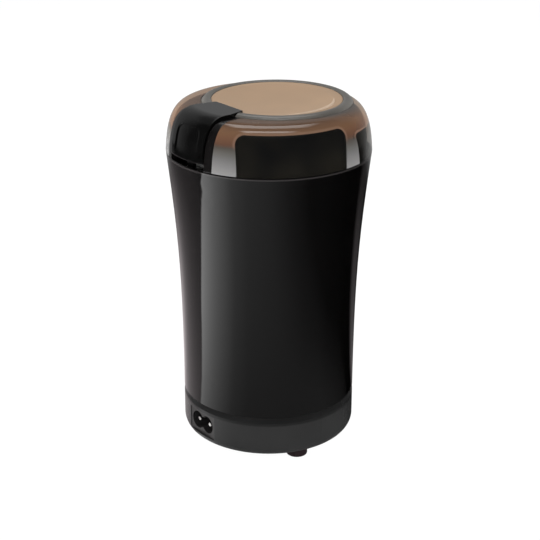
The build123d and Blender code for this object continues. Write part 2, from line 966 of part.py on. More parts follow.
for side, side_name in ((-1, "left"), (1, "right")):
    holder_start = commutator_radius + 2 * brush_gap
    with BuildPart() as brush_holder:
        with BuildSketch(Plane.YZ.offset(side * holder_start)):
            with Locations((0, commutator_middle)):
                Rectangle(brush_width + 2 * holder_wall, brush_height + 2 * holder_wall)
                Rectangle(
                    brush_width + 2 * running_fit,
                    brush_height + 2 * running_fit,
                    mode=Mode.SUBTRACT,
                )
        extrude(amount=side * holder_length)
        # End cap with the spring seat
        with BuildSketch(Plane.YZ.offset(side * (holder_start + holder_length))):
            with Locations((0, commutator_middle)):
                Rectangle(brush_width + 2 * holder_wall, brush_height + 2 * holder_wall)
        extrude(amount=side * holder_wall)
    finish(brush_holder, f"brush_holder_{side_name}")

    with BuildPart() as carbon_brush:
        with BuildSketch(Plane.YZ.offset(side * (commutator_radius + brush_gap))):
            with Locations((0, commutator_middle)):
                Rectangle(brush_width, brush_height)
        extrude(amount=side * holder_length * 0.5)
    finish(carbon_brush, f"carbon_brush_{side_name}")

brush_end = commutator_radius + brush_gap + holder_length * 0.5
spring_end = commutator_radius + 2 * brush_gap + holder_length
with BuildPart() as brush_spring:
    with BuildSketch(Plane.YZ.offset(brush_end)):
        with Locations((0, commutator_middle)):
            Circle(brush_width / 2 - 0.2)
            Circle(brush_width / 2 - 0.9, mode=Mode.SUBTRACT)
    extrude(amount=spring_end - brush_end)
brush_springs = Compound(
    children=[
        brush_spring.part.solid(),
        (Rot(0, 0, 180) * brush_spring.part).solid(),
    ]
)
brush_springs.label = "brush_springs"
export_step(brush_springs, "parts/brush_springs.step")

# ======================= rotor =======================

with BuildPart() as rotor_shaft:
    with Locations((0, 0, shaft_bottom)):
        Cylinder(shaft_radius, shaft_top - shaft_bottom, align=UP)
    chamfer(rotor_shaft.edges().filter_by(GeomType.CIRCLE), shaft_radius / 6)
finish(rotor_shaft, "rotor_shaft")

with BuildPart() as armature_core:
    with BuildSketch(Plane.XY.offset(stack_bottom)):
        Circle(armature_radius)
        Circle(shaft_radius, mode=Mode.SUBTRACT)
        with PolarLocations(slot_circle, slot_count):
            Circle(slot_radius, mode=Mode.SUBTRACT)
        with PolarLocations((slot_circle + armature_radius) / 2, slot_count):
            Rectangle(armature_radius - slot_circle + 1, slot_mouth, mode=Mode.SUBTRACT)
    extrude(amount=stack_length)
finish(armature_core, "armature_core")

with BuildPart() as armature_windings:
    with BuildSketch(Plane.XY.offset(stack_bottom)):
        with PolarLocations(slot_circle, slot_count):
            Circle(wire_radius)
    extrude(amount=stack_length)
    winding_outer = slot_circle + wire_radius
    for low in (stack_bottom - end_winding, stack_top):
        with BuildSketch(Plane.XZ):
            with Locations(((end_winding_inner + winding_outer) / 2, low + end_winding / 2)):
                RectangleRounded(winding_outer - end_winding_inner, end_winding, 1.6)
        revolve()
finish(armature_windings, "armature_windings")

with BuildPart() as commutator:
    add(tube(
        commutator_radius,
        shaft_radius,
        commutator_bottom,
        commutator_bottom + commutator_length,
    ))
    with Locations((0, 0, commutator_bottom)):
        with PolarLocations(commutator_radius, commutator_bars):
            Box(2 * bar_groove, bar_groove, commutator_length, align=UP, mode=Mode.SUBTRACT)
finish(commutator, "commutator")

with BuildPart() as cooling_fan:
    fan_bottom = fan_top - fan_plate - fan_height
    with Locations((0, 0, fan_bottom)):
        Cylinder(fan_hub_radius, fan_height + fan_plate, align=UP)
    with Locations((0, 0, fan_top)):
        Cylinder(fan_radius, fan_plate, align=DOWN)
    # Radial blades under the plate, run into the hub
    blade_reach = fan_radius - fan_edge - fan_hub_radius + fan_blade_thickness
    with BuildSketch(Plane.XY.offset(fan_bottom)):
        with PolarLocations(fan_radius - fan_edge - blade_reach / 2, fan_blades):
            Rectangle(blade_reach, fan_blade_thickness)
    extrude(amount=fan_height + fan_plate / 2)
    with Locations((0, 0, fan_bottom)):
        Cylinder(shaft_radius, fan_height + fan_plate, align=UP, mode=Mode.SUBTRACT)
finish(cooling_fan, "cooling_fan")

with BuildPart() as blade_hub:
    hub_z = seal_z + seal_height + air_gap
    add(tube(hub_radius, shaft_radius, hub_z, blade_z))
    chamfer(
        blade_hub.edges().filter_by(GeomType.CIRCLE).group_by(Axis.Z)[-1].sort_by(SortBy.RADIUS)[-1],
        bush_flange / 2,
    )
finish(blade_hub, "blade_hub")

with BuildPart() as grinding_blade:
    with BuildSketch(Plane.XY.offset(blade_z)):
        with BuildLine():
            Polyline(
                (0, blade_root_width / 2),
                (blade_bend_at, blade_tip_width / 2),
                (blade_bend_at, -blade_tip_width / 2),
                (0, -blade_root_width / 2),
            )
            mirror(about=Plane.YZ)
        make_face()
    extrude(amount=blade_thickness)
    # Tips bent up, one at each end
    for side in (-1, 1):
        tip_plane = Plane(
            origin=(side * blade_bend_at, 0, blade_z),
            x_dir=(side * cos(radians(blade_tip_angle)), 0, sin(radians(blade_tip_angle))),
            z_dir=(-side * sin(radians(blade_tip_angle)), 0, cos(radians(blade_tip_angle))),
        )
        with BuildSketch(tip_plane):
            with BuildLine():
                Polyline(
                    (-blade_thickness / 2, blade_tip_width / 2),
                    (-blade_thickness / 2, -blade_tip_width / 2),
                    (blade_half_length - blade_bend_at, -blade_tip_width / 2),
                    (blade_half_length - blade_bend_at - blade_tip_width / 2, blade_tip_width / 2),
                    close=True,
                )
            make_face()
        extrude(amount=blade_thickness)
    # Ground leading edge of each tip
    for side in (-1, 1):
        along_tip = Axis((0, 0, 0), (side * cos(radians(blade_tip_angle)), 0, sin(radians(blade_tip_angle))))
        chamfer(grinding_blade.edges().filter_by(along_tip).sort_by(Axis.Z)[-1], blade_bevel)
    with Locations((0, 0, blade_z)):
        Cylinder(shaft_radius, blade_half_length, mode=Mode.SUBTRACT)
finish(grinding_blade, "grinding_blade")

with BuildPart() as blade_nut:
    with BuildSketch(Plane.XY.offset(nut_z)):
        RegularPolygon(nut_size, 6)
        Circle(shaft_radius, mode=Mode.SUBTRACT)
    extrude(amount=nut_height)
finish(blade_nut, "blade_nut")

# ======================= switch in the casing =======================

with BuildPart() as switch_plunger:
    slab(plunger_half_width, -plunger_outer, -plunger_inner, plunger_under, plunger_top)
    fillet(
        switch_plunger.edges().group_by(Axis.Z)[-1],
        plunger_guide * 2,
    )
    with Locations((0, -rod_y, plunger_under)):
        Cylinder(rod_radius, rod_length, align=DOWN)
    fillet(switch_plunger.edges().group_by(Axis.Z)[0], rod_tip_round)
finish(switch_plunger, "switch_plunger")

with BuildPart() as plunger_spring:
    with BuildLine(Plane((0, -rod_y, shelf_top + spring_wire))):
        spring_path = Helix(
            pitch=(spring_length - 2 * spring_wire) / spring_turns,
            height=spring_length - 2 * spring_wire,
            radius=spring_radius,
        )
    with BuildSketch(Plane(spring_path @ 0, z_dir=spring_path % 0)):
        Circle(spring_wire)
    sweep(is_frenet=True)
finish(plunger_spring, "plunger_spring")

with BuildPart() as switch_bracket:
    plate_low = switch_top - switch_height - plate_overhang
    # Plate along the bowl
    slab(plate_half_width, -plate_outer, -plate_inner, plate_low, deck_under_z)
    # Ears under the deck, either side of the rod
    ear_middle = (flange_inner_x + plate_half_width) / 2
    for side in (-1, 1):
        with Locations((side * ear_middle, -(flange_outer + plate_inner) / 2, deck_under_z)):
            Box(
                plate_half_width - flange_inner_x,
                flange_outer - plate_inner,
                flange_thickness,
                align=DOWN,
            )
    # Shelf that guides the rod and carries the spring
    slab(shelf_half_width, -shelf_outer, -plate_inner, shelf_top - shelf_thickness, shelf_top)
    with Locations((0, -rod_y, shelf_top)):
        Cylinder(
            rod_radius + 2 * running_fit,
            shelf_thickness,
            align=DOWN,
            mode=Mode.SUBTRACT,
        )
    with Locations((0, -(flange_outer + plate_outer) / 2, deck_under_z)):
        with GridLocations(2 * bracket_screw_x, 1, 2, 1):
            Cylinder(
                bracket_screw_radius + screw_clearance,
                flange_thickness,
                align=DOWN,
                mode=Mode.SUBTRACT,
            )
    # Pegs that hold the microswitch
    with BuildSketch(Plane.XZ.offset(plate_outer)):
        with Locations((switch_x, switch_top - peg_drop)):
            with GridLocations(peg_spacing, 1, 2, 1):
                Circle(peg_radius)
    extrude(amount=switch_thickness)
finish(switch_bracket, "switch_bracket")

with BuildPart() as bracket_screw:
    pan_screw(
        bracket_screw_radius,
        bracket_screw_head,
        bracket_screw_radius,
        deck_under_z - flange_thickness,
        flange_thickness + bracket_screw_bite,
    )
bracket_screws = Compound(
    children=[
        (Pos(side * bracket_screw_x, -(flange_outer + plate_outer) / 2, 0) * bracket_screw.part).solid()
        for side in (-1, 1)
    ]
)
bracket_screws.label = "bracket_screws"
export_step(bracket_screws, "parts/bracket_screws.step")

with BuildPart() as microswitch:
    with Locations((switch_x, switch_y, switch_top)):
        Box(switch_length, switch_thickness, switch_height, align=DOWN)
    fillet(microswitch.edges().filter_by(Axis.Y), switch_corner)
    # Bore of the button, with room left under it at the end of its travel
    with Locations((0, -rod_y, switch_top)):
        Cylinder(
            button_radius + running_fit,
            button_bite + plunger_travel + button_room,
            align=DOWN,
            mode=Mode.SUBTRACT,
        )
    with BuildSketch(Plane.XZ.offset(plate_outer)):
        with Locations((switch_x, switch_top - peg_drop)):
            with GridLocations(peg_spacing, 1, 2, 1):
                Circle(peg_radius)
    extrude(amount=switch_thickness, mode=Mode.SUBTRACT)
    # Terminals below
    with Locations((switch_x, switch_y, switch_top - switch_height)):
        with GridLocations((switch_length - terminal_width) / 2, 1, 3, 1):
            Box(terminal_width / 2, terminal_thickness / 2, terminal_width, align=DOWN)
finish(microswitch, "microswitch")

with BuildPart() as switch_button:
    with Locations((0, -rod_y, button_top)):
        Cylinder(button_radius, button_rest + plunger_travel + button_bite, align=DOWN)
    fillet(switch_button.edges().group_by(Axis.Z)[-1], button_rest)
finish(switch_button, "switch_button")

# ======================= mains filter =======================

with BuildPart() as filter_board:
    with BuildSketch(Plane.XY.offset(board_z)):
        with Locations((0, board_y)):
            RectangleRounded(board_length, board_width, 1)
    extrude(amount=board_thickness)
finish(filter_board, "filter_board")

with BuildPart() as filter_capacitor:
    with BuildSketch(Plane.XY.offset(board_z + board_thickness)):
        with Locations((0, board_y)):
            RectangleRounded(capacitor_length, capacitor_width, 0.8)
    extrude(amount=capacitor_height)
    fillet(filter_capacitor.faces().sort_by(Axis.Z)[-1].edges(), 0.6)
finish(filter_capacitor, "filter_capacitor")

# ======================= lid =======================

lid_outside = dome(0, lid_top_z, rim_z + lid_gap)
lid_inside = dome(lid_wall, lid_top_z - lid_wall, rim_z)
housing_column = column(frame_plan(frame_fit), rim_z, lid_top_z + lid_wall)
lever_column = column(lever_plan(lever_gap), rim_z, lid_top_z + 2 * lid_wall)
trim_center = (0, trim_offset)

with BuildPart() as lid_shell:
    add(lid_outside)
    add(lid_inside, mode=Mode.SUBTRACT)
    # Seat of the trim ring and opening for the dish
    with Locations((*trim_center, trim_z)):
        Cylinder(trim_radius, 2 * lid_wall, align=UP, mode=Mode.SUBTRACT)
    with Locations((*trim_center, trim_z)):
        Cylinder(ledge_hole, 2 * lid_wall, mode=Mode.SUBTRACT)
    # Slot of the lever and its housing
    add(housing_column, mode=Mode.SUBTRACT)
    add(lever_column, mode=Mode.SUBTRACT)
finish(lid_shell, "lid_shell")

trim_plane = Plane.XZ.offset(-trim_offset)
trim_axis = Axis((0, trim_offset, 0), (0, 0, 1))

with BuildPart() as lid_ring:
    with BuildSketch(trim_plane):
        with BuildLine():
            outer_low = (trim_radius - trim_clearance, trim_z)
            outer_high = (trim_radius - trim_clearance, trim_z + ring_edge_height)
            inner_high = (ring_inner, trim_z + ring_land_height)
            inner_low = (ring_inner, trim_z)
            Polyline(inner_high, inner_low, outer_low, outer_high)
            ThreePointArc(outer_high, (ring_crest_at, trim_z + ring_crest_height), inner_high)
        make_face()
    revolve(axis=trim_axis)
    add(lever_column, mode=Mode.SUBTRACT)
finish(lid_ring, "lid_ring")

with BuildPart() as lid_dish:
    dish_top = trim_z + dish_land
    with BuildSketch(trim_plane):
        with BuildLine():
            Polyline(
                (0, dish_top),
                (0, trim_z - dish_plug),
                (ledge_hole - seat_clearance, trim_z - dish_plug),
                (ledge_hole - seat_clearance, trim_z),
                (ring_inner - trim_clearance, trim_z),
                (ring_inner - trim_clearance, dish_top),
                close=True,
            )
        make_face()
        fillet(
            vertices().sort_by_distance((ring_inner - trim_clearance, dish_top))[0],
            edge_soft,
        )
    revolve(axis=trim_axis)
    # Shallow spherical hollow for the palm, set towards the lever
    ball_radius = (hollow_radius**2 + hollow_depth**2) / (2 * hollow_depth)
    with Locations((0, hollow_offset, dish_top - hollow_depth + ball_radius)):
        Sphere(ball_radius, mode=Mode.SUBTRACT)
    add(lever_column, mode=Mode.SUBTRACT)
finish(lid_dish, "lid_dish")

with BuildPart() as lid_liner:
    skirt_inset = lid_wall + skirt_gap
    add(dome(skirt_inset, lid_top_z - skirt_inset, rim_z - spigot_top))
    add(
        dome(skirt_inset + skirt_wall, lid_top_z - skirt_inset - skirt_wall, rim_z - spigot_top),
        mode=Mode.SUBTRACT,
    )
    # Panels with rounded upper corners, in pairs either side of the lever
    panels = []
    for pair in range(panel_pairs):
        for side in (-1, 1):
            azimuth = radians(side * (panel_first + pair * panel_pitch))
            panels.append(
                Plane(
                    origin=(0, 0, 0),
                    x_dir=(cos(azimuth), sin(azimuth), 0),
                    z_dir=(sin(azimuth), -cos(azimuth), 0),
                )
            )
    panel_reach = rim_radius * sin(radians(panel_angle))
    with BuildSketch(*panels):
        with Locations((0, rim_z - spigot_top)):
            Rectangle(
                2 * panel_reach,
                skirt_height + spigot_top,
                align=(Align.CENTER, Align.MIN),
            )
        fillet(vertices().group_by(Axis.Y)[-1], skirt_round)
    extrude(amount=2 * rim_radius, mode=Mode.INTERSECT)
    # Spigot that centres the lid in the casing
    spigot_radius = recess_radius - spigot_clearance
    add(
        tube(
            spigot_radius,
            spigot_radius - spigot_wall,
            rim_z - spigot_depth,
            rim_z - spigot_top,
        )
    )
    with Locations((0, -rim_radius, rim_z)):
        Box(
            2 * (frame_half_width + skirt_wall),
            rim_radius,
            4 * spigot_depth,
            mode=Mode.SUBTRACT,
        )
finish(lid_liner, "lid_liner")

# ======================= lever =======================

cheek_x = lever_half_width + lever_gap + cheek_wall
with BuildPart() as cheeks:
    slab(cheek_x, -rim_radius, -cheek_front, rim_z + lid_gap, rim_z + cheek_top)
    slab(cheek_x, -cheek_front, -cheek_back, rim_z + cheek_step, rim_z + cheek_top)
    add(lid_outside, mode=Mode.INTERSECT)

with BuildPart() as lever_housing:
    # Skin that carries on the lid's curve, then the cheeks beside the lever
    add(column(frame_plan(), rim_z + lid_gap, lid_top_z + lid_wall))
    add(lid_outside, mode=Mode.INTERSECT)
    add(lid_inside, mode=Mode.SUBTRACT)
    add(cheeks)
    add(lever_column, mode=Mode.SUBTRACT)
    # Web that ties the cheeks behind the lever
    slab(
        cheek_x,
        -cheek_back,
        -cheek_back + web_wall,
        rim_z + cheek_step,
        rim_z + cheek_top,
    )
    with BuildSketch(Plane.YZ.offset(-cheek_x)):
        with Locations((-hinge_y, hinge_z)):
            Circle(hinge_pin_radius)
    extrude(amount=2 * cheek_x, mode=Mode.SUBTRACT)
finish(lever_housing, "lever_housing")

with BuildPart() as lever_hinge_pin:
    with BuildSketch(Plane.YZ.offset(-cheek_x)):
        with Locations((-hinge_y, hinge_z)):
            Circle(hinge_pin_radius)
    extrude(amount=2 * cheek_x)
finish(lever_hinge_pin, "lever_hinge_pin")

lever_top = lid_top_z + lever_crown
lever_outside = dome(-lever_proud, lever_top, rim_z)
lever_inside = dome(lever_wall - lever_proud, lever_top - lever_wall, rim_z - 1)
lever_field = dome(panel_sink - lever_proud, lever_top - panel_sink, rim_z - 1)

with BuildPart() as press_lever:
    add(column(lever_plan(), rim_z + lever_lift, lever_top + 1))
    add(lever_outside, mode=Mode.INTERSECT)
    add(lever_inside, mode=Mode.SUBTRACT)
    # Sunk field on the front face
    with BuildSketch(Plane.XZ.offset(lid_flat_radius)):
        with Locations((0, rim_z)):
            Rectangle(
                2 * panel_half_width,
                panel_top,
                align=(Align.CENTER, Align.MIN),
            )
        fillet(vertices().group_by(Axis.Y)[-1], skirt_round)
    sunk = extrude(amount=rim_radius, mode=Mode.PRIVATE)
    add(sunk - lever_field, mode=Mode.SUBTRACT)
    # Ears on the hinge pin
    for side in (-1, 1):
        with BuildSketch(Plane.YZ.offset(side * ear_inner)):
            with Locations((-hinge_y, hinge_z)):
                Circle(ear_radius)
                Rectangle(
                    2 * ear_radius,
                    lever_top - lever_wall / 2 - hinge_z,
                    align=(Align.CENTER, Align.MIN),
                )
                Circle(hinge_pin_radius + running_fit, mode=Mode.SUBTRACT)
        extrude(amount=side * ear_wall)
    # Leg that reaches down to the switch plunger
    slab(leg_width / 2, -leg_outer, -leg_inner, rim_z - leg_depth, rim_z + leg_joint_high)
    slab(
        leg_width / 2,
        -leg_joint_reach,
        -leg_inner,
        rim_z + leg_joint_low,
        rim_z + leg_joint_high,
    )
    fillet(press_lever.edges().group_by(Axis.Z)[0].filter_by(Axis.X), leg_width / 6)
finish(press_lever, "press_lever")
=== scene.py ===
import math

import bpy
from mathutils import Euler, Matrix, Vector


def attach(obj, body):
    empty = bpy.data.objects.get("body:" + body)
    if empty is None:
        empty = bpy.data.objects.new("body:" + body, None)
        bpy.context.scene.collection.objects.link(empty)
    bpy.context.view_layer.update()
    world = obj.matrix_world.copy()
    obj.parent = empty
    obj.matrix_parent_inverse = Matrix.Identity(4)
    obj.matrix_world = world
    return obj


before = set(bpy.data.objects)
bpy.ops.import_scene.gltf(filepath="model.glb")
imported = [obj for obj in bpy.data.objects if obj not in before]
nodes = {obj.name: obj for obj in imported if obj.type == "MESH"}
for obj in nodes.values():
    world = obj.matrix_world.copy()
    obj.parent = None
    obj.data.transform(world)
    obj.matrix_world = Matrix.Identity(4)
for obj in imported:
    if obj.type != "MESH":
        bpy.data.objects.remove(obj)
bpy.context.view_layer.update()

# Lengths are in metres, and angles in degrees unless a comment says otherwise
RIM = 0.1485                    # height of the casing's rim
BASE_BAND = 0.0215              # height from which the base is painted darker, as shade round its narrower band under the casing
LID_HEIGHT = 0.0224             # from the rim to the top of the lid's crown
# Dark windows of the lid on each side: middle's angle from the lever, top above the rim, corner radius
WINDOWS = ((66.4, 0.0186, 0.0048), (141.7, 0.0142, 0.0020))
WINDOW_REACH = 0.0257           # half a window's width
WINDOW_BLUR = 0.00015
# The pale line round a window is a painted highlight, for an edge catching light
HIGHLIGHT_LINE_AWAY = 0.0003            # pale line round a window: how far outside its middle runs,
HIGHLIGHT_LINE_FULL = 0.0003            # the distance from there up to which it is at its full,
HIGHLIGHT_LINE_NONE = 0.0009            # and the one at which it has faded
TRIM_OFFSET = 0.0048            # the ring's centre lies this far to the back
TRIM_RADIUS = 0.036
RING_SHADE_SLOPE = 0.22             # the width of painted shade round the ring grows by this share of Y
RING_SHADE_WIDTH = 0.0018
RING_SHADE_LEAST = 0.0001
LID_COVER = 0.92                # share of the lid's own colour, seen straight on, over what lies behind it
LID_IOR = 1.45
GRAIN_DEPTH = 0.0002            # height of the moulded grain at full strength
GRAIN_SCALE = 900.0


# ---------- nodes ----------

def new_material(name):
    mat = bpy.data.materials.new(name)
    mat.use_nodes = True
    tree = mat.node_tree
    tree.nodes.clear()
    return mat, tree


def feed(tree, socket, value):
    """Link another node's socket to an input, or set its number or colour."""
    if isinstance(value, bpy.types.NodeSocket):
        tree.links.new(value, socket)
    else:
        socket.default_value = value


def node(tree, kind, **values):
    """New node with its settings and its inputs by name."""
    n = tree.nodes.new(kind)
    for key, value in values.items():
        if hasattr(n, key) and key not in n.inputs:
            setattr(n, key, value)
        else:
            feed(tree, n.inputs[key], value)
    return n


def object_point(tree):
    """Object coordinates as three sockets: X, Y and Z."""
    coords = node(tree, "ShaderNodeTexCoord")
    split = node(tree, "ShaderNodeSeparateXYZ", Vector=coords.outputs["Object"])
    return split.outputs["X"], split.outputs["Y"], split.outputs["Z"]


def noise(tree, scale, detail=2.0):
    """Cloudy noise over the object coordinates, from 0 to 1."""
    coords = node(tree, "ShaderNodeTexCoord")
    cloud = node(tree, "ShaderNodeTexNoise", Vector=coords.outputs["Object"], Scale=scale, Detail=detail)
    return cloud.outputs["Fac"]


def maths(tree, operation, first, second=None, third=None, clamp=False):
    """Math node over sockets or numbers."""
    m = node(tree, "ShaderNodeMath", operation=operation, use_clamp=clamp)
    for socket, value in zip(m.inputs, (first, second, third)):
        if value is not None:
            feed(tree, socket, value)
    return m.outputs["Value"]


def length(tree, first, second):
    """Root of the sum of two squares."""
    return maths(tree, "SQRT", maths(tree, "ADD", maths(tree, "MULTIPLY", first, first),
                                     maths(tree, "MULTIPLY", second, second)))


def remap(tree, value, start=0.0, end=1.0, low=0.0, high=1.0, smooth=False):
    """Value's range from start to end, turned into low to high and held beyond both."""
    m = node(tree, "ShaderNodeMapRange", interpolation_type="SMOOTHSTEP" if smooth else "LINEAR", Value=value)
    for key, limit in (("From Min", start), ("From Max", end), ("To Min", low), ("To Max", high)):
        feed(tree, m.inputs[key], limit)
    return m.outputs["Result"]


def steps(tree, value, stops):
    """Colour ramp through (place, colour) stops; a single number stands for a grey."""
    ramp = node(tree, "ShaderNodeValToRGB", Fac=value)
    elements = ramp.color_ramp.elements
    while len(elements) < len(stops):
        elements.new(0.5)
    for element, (place, color) in zip(elements, stops):
        element.position = place
        element.color = (*(color if isinstance(color, tuple) else (color,) * 3), 1)
    return ramp.outputs["Color"]


def multiplied(tree, first, second):
    """Product of two colours."""
    product = node(tree, "ShaderNodeVectorMath", operation="MULTIPLY")
    feed(tree, product.inputs[0], first)
    feed(tree, product.inputs[1], second)
    return product.outputs["Vector"]


def scaled(tree, color, factor):
    """Colour times a number, which may be over 1."""
    product = node(tree, "ShaderNodeVectorMath", operation="SCALE", Scale=factor)
    feed(tree, product.inputs[0], color)
    return product.outputs["Vector"]


def mixed(tree, share, first, second):
    """Colour between first, at share 0, and second, at 1."""
    mix = node(tree, "ShaderNodeMix", data_type="RGBA")
    for index, value in ((0, share), (6, first), (7, second)):
        feed(tree, mix.inputs[index], value)
    return mix.outputs[2]


def mixed_shader(tree, share, first, second):
    """Shader between first, at share 0, and second, at 1."""
    mix = node(tree, "ShaderNodeMixShader", Fac=share)
    feed(tree, mix.inputs[1], first)
    feed(tree, mix.inputs[2], second)
    return mix.outputs["Shader"]


# ---------- materials ----------

def principled(name, color, rough=0.3, metal=0.0, vary=0.12, scale=60.0, bump=0.02, soft=0.0, worn=(),
               **sockets):
    """Surface whose tone and polish vary a little, with a fine moulded grain.

    vary and scale are the variation's share and fineness, bump is the grain's strength, and soft is the radius
    that sharp edges are rounded by. worn holds (height, factor) stops that the colour is multiplied by, which
    paint highlights and shade over ranges of heights.
    """
    mat, tree = new_material(name)
    tone = noise(tree, scale)
    dark = tuple(c * (1 - vary) for c in color)
    light = tuple(min(1, c * (1 + vary)) for c in color)
    paint = steps(tree, tone, [(0.3, dark), (0.7, light)])
    # Painted highlight and painted shade over given heights, multiplied into the colour
    if worn:
        paint = paint_light_by_height(tree, paint, worn)
    grain = node(tree, "ShaderNodeBump", Strength=bump, Distance=GRAIN_DEPTH,
                 Height=noise(tree, GRAIN_SCALE, 3.0))
    if soft:
        rounded = node(tree, "ShaderNodeBevel", samples=6, Radius=soft)
        feed(tree, grain.inputs["Normal"], rounded.outputs["Normal"])
    polish = remap(tree, tone, low=rough * 0.85, high=rough * 1.15)
    bsdf = node(tree, "ShaderNodeBsdfPrincipled", Metallic=metal, Roughness=polish,
                Normal=grain.outputs["Normal"], **{"Base Color": paint}, **sockets)
    node(tree, "ShaderNodeOutputMaterial", Surface=bsdf.outputs["BSDF"])
    return mat


def paint_light_by_height(tree, paint, levels):
    """Colour multiplied by factors between heights, which paint highlights and shade: levels holds (height,
    factor) stops.
    """
    top = max(height for height, _ in levels)
    peak = max(factor for _, factor in levels)
    share = maths(tree, "DIVIDE", object_point(tree)[2], top)
    factor = steps(tree, share, [(height / top, value / peak) for height, value in levels])
    return multiplied(tree, paint, scaled(tree, factor, peak))


def window_distance(tree, x, y, z):
    """Distance outside the nearest dark window of the lid, negative within it."""
    side = maths(tree, "ABSOLUTE", x)
    nearest = None
    for angle, top, round_corner in WINDOWS:
        turn_x, turn_y = math.cos(math.radians(angle)), math.sin(math.radians(angle))
        above = maths(tree, "SUBTRACT", z, RIM + top - round_corner)
        along = maths(tree, "ADD", maths(tree, "MULTIPLY", side, turn_x), maths(tree, "MULTIPLY", y, turn_y))
        facing = maths(tree, "SUBTRACT", maths(tree, "MULTIPLY", side, turn_y),
                       maths(tree, "MULTIPLY", y, turn_x))
        across = maths(tree, "SUBTRACT", maths(tree, "ABSOLUTE", along), WINDOW_REACH - round_corner)
        corner = length(tree, maths(tree, "MAXIMUM", across, 0.0), maths(tree, "MAXIMUM", above, 0.0))
        outside = maths(tree, "SUBTRACT", corner, round_corner)
        # The far side of the lid, where facing is negative, doesn't count
        outside = maths(tree, "MAXIMUM", outside, maths(tree, "MULTIPLY", facing, -1.0))
        nearest = outside if nearest is None else maths(tree, "MINIMUM", nearest, outside)
    return nearest


def lid_colour(tree, rise):
    """Brown crown, dark windows and grey posts between them, whose pale grey low down is painted light for the
    lit bowl seen through; rise is 0 at the rim and 1 on top.
    """
    x, y, z = object_point(tree)
    away = window_distance(tree, x, y, z)
    within = remap(tree, away, WINDOW_BLUR, -WINDOW_BLUR, smooth=True)
    off_line = maths(tree, "ABSOLUTE", maths(tree, "SUBTRACT", away, HIGHLIGHT_LINE_AWAY))
    painted_highlight = remap(tree, off_line, HIGHLIGHT_LINE_NONE, HIGHLIGHT_LINE_FULL, smooth=True)
    # Pale grey low on the posts is painted light, standing for the lit bowl behind the clear plastic; the
    # brown higher up is the plastic's own
    post = steps(tree, rise, [
        (0.0, (0.22, 0.215, 0.215)), (0.30, (0.135, 0.133, 0.131)), (0.56, (0.065, 0.058, 0.050)),
        (0.63, (0.095, 0.048, 0.031)), (0.74, (0.130, 0.066, 0.040)), (0.84, (0.155, 0.083, 0.046)),
        (1.0, (0.165, 0.092, 0.056))])
    # Cloudy, and with painted shade, greyer, where the crown meets the ring, over a width that grows to the
    # back
    cloudy = multiplied(tree, post, steps(tree, noise(tree, 22.0, 1.0), [(0.35, 0.86), (0.65, 1.0)]))
    from_ring = maths(tree, "SUBTRACT", length(tree, x, maths(tree, "SUBTRACT", y, TRIM_OFFSET)), TRIM_RADIUS)
    span = maths(tree, "MAXIMUM", maths(tree, "MULTIPLY_ADD", y, RING_SHADE_SLOPE, RING_SHADE_WIDTH), RING_SHADE_LEAST)
    ring_shade_share = remap(tree, from_ring, span, 0.0, smooth=True)
    shaded_near_ring = mixed(tree, maths(tree, "MULTIPLY", ring_shade_share, 0.85), cloudy, (0.075, 0.072, 0.066, 1))
    # The painted highlight line, for the crown's edge catching light, shows along the crown alone
    crown = steps(tree, rise, [(0.54, 0.0), (0.62, 0.25)])
    highlighted = mixed(tree, maths(tree, "MULTIPLY", painted_highlight, crown), shaded_near_ring, (0.30, 0.20, 0.15, 1))
    smoke = steps(tree, noise(tree, 45.0), [(0.35, 0.004), (0.7, (0.010, 0.009, 0.007))])
    return mixed(tree, within, highlighted, smoke)


def lid_plastic(name):
    """Bronze see-through plastic: its own colour over a tint of what lies behind, under a clear gloss."""
    mat, tree = new_material(name)
    height = remap(tree, object_point(tree)[2], RIM, RIM + LID_HEIGHT)
    rise = maths(tree, "ADD", height, remap(tree, noise(tree, 70.0), low=-0.03, high=0.03))
    tint = steps(tree, rise, [(0.0, (0.66, 0.65, 0.64)), (0.5, (0.58, 0.52, 0.46)), (0.7, (0.60, 0.42, 0.29))])
    through = node(tree, "ShaderNodeBsdfTransparent", Color=tint)
    body = node(tree, "ShaderNodeBsdfPrincipled", **{
        "Base Color": lid_colour(tree, rise), "Roughness": 0.3, "Specular IOR Level": 0.0})
    # Its outline, seen edge on, lets more of the bright surroundings through
    facing = node(tree, "ShaderNodeLayerWeight", Blend=0.35).outputs["Facing"]
    sheer = steps(tree, rise, [(0.0, 0.16), (0.5, 0.20), (0.8, 0.42)])
    solid = maths(tree, "SUBTRACT", LID_COVER, maths(tree, "MULTIPLY", facing, sheer), clamp=True)
    wall = mixed_shader(tree, solid, through.outputs["BSDF"], body.outputs["BSDF"])
    fresnel = node(tree, "ShaderNodeFresnel", IOR=LID_IOR)
    gloss = node(tree, "ShaderNodeBsdfGlossy", Roughness=0.05)
    shine = mixed_shader(tree, fresnel.outputs["Fac"], wall, gloss.outputs["BSDF"])
    # The inner face of each wall adds nothing, so a wall tints once
    side = node(tree, "ShaderNodeNewGeometry")
    clear = node(tree, "ShaderNodeBsdfTransparent")
    once = mixed_shader(tree, side.outputs["Backfacing"], shine, clear.outputs["BSDF"])
    node(tree, "ShaderNodeOutputMaterial", Surface=once)
    return mat


# Factors over the height: a painted highlight line just under the casing's rim, and painted shade on the
# base's band under the casing
RIM_HIGHLIGHT = [(0.0, 1.0), (RIM - 0.0009, 1.0), (RIM - 0.0006, 60.0), (RIM - 0.0003, 60.0), (RIM - 0.0002, 1.0)]
BAND_PAINTED_SHADE = [(0.0, 1.0), (BASE_BAND - 0.0001, 1.0), (BASE_BAND + 0.0001, 0.45), (0.03, 0.45)]
SATIN = {"Specular IOR Level": 0.35}

